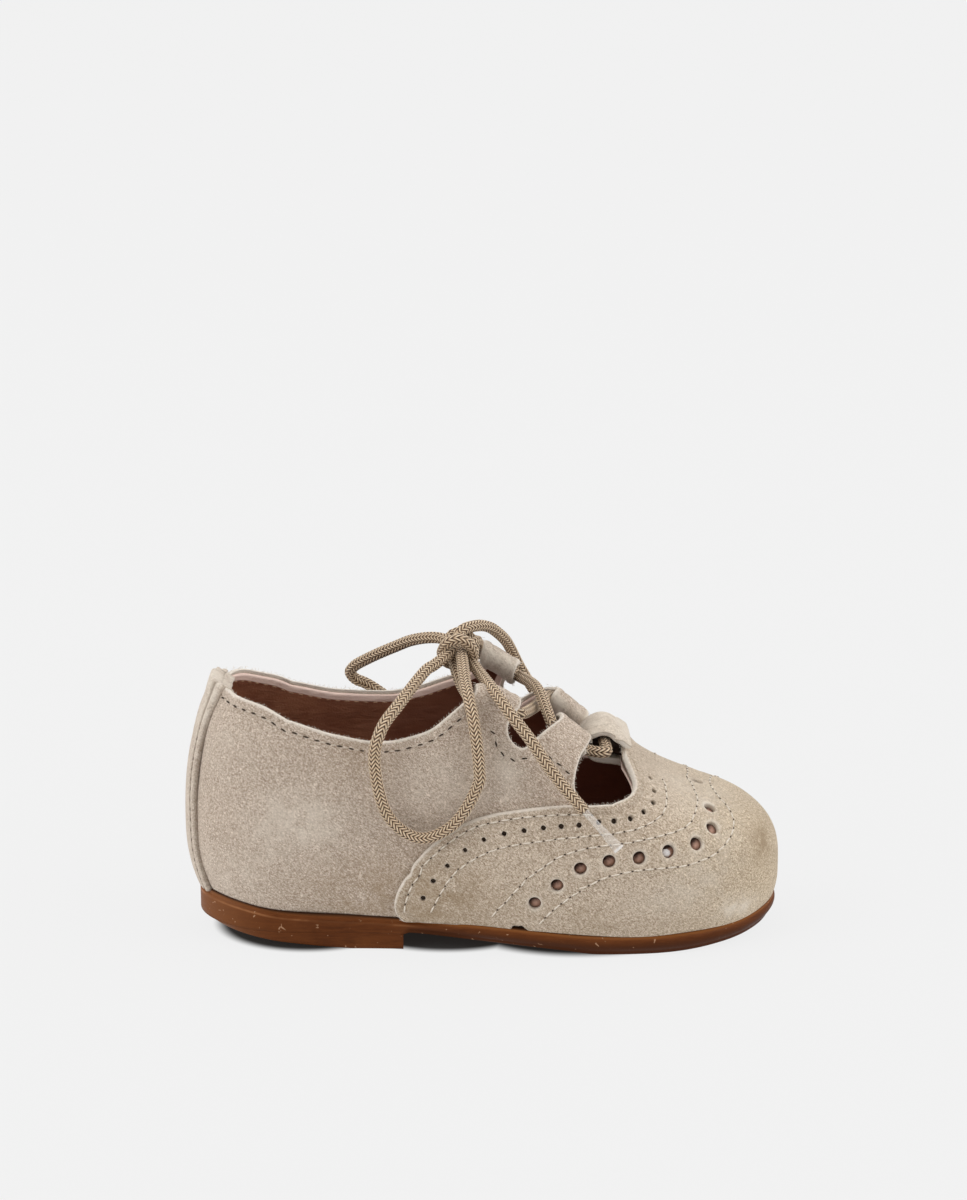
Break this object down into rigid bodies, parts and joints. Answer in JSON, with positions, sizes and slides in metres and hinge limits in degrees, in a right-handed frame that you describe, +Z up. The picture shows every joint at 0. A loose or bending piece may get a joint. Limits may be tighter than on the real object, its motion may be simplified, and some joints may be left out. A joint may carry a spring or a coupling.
{
  "type": "child's lace-up brogue shoe",
  "caption": "Child's open suede brogue for the right foot: hollow upper with side cut-outs and lace loops, punched vamp overlay, leather sole with a low heel and a bow-tied cord lace.",
  "frame": {"origin": "centre of the shoe's bounding box on the floor, measured without the loose lace", "axes": "+X to the toe, +Y to the inner side of the foot, +Z up"},
  "size_m": [0.1373, 0.0646, 0.0722],
  "materials": {
    "suede": "matt brushed nap",
    "sole_leather": "satin, waxed edge",
    "lining_leather": "smooth satin",
    "lace_cord": "matt braid",
    "aglet_clear": "clear gloss"
  },
  "bodies": {
    "root": {"outsole": "sole_leather", "heel": "sole_leather", "insole": "lining_leather", "upper": "suede", "vamp": "suede", "heel_strip": "suede", "lace_crossings": "lace_cord", "lace_knot": "lace_cord", "lace_bow_near": "lace_cord", "lace_bow_far": "lace_cord", "lace_end_near": "lace_cord", "lace_end_far": "lace_cord", "aglet_near": "aglet_clear", "aglet_far": "aglet_clear"}
  },
  "joints": []
}
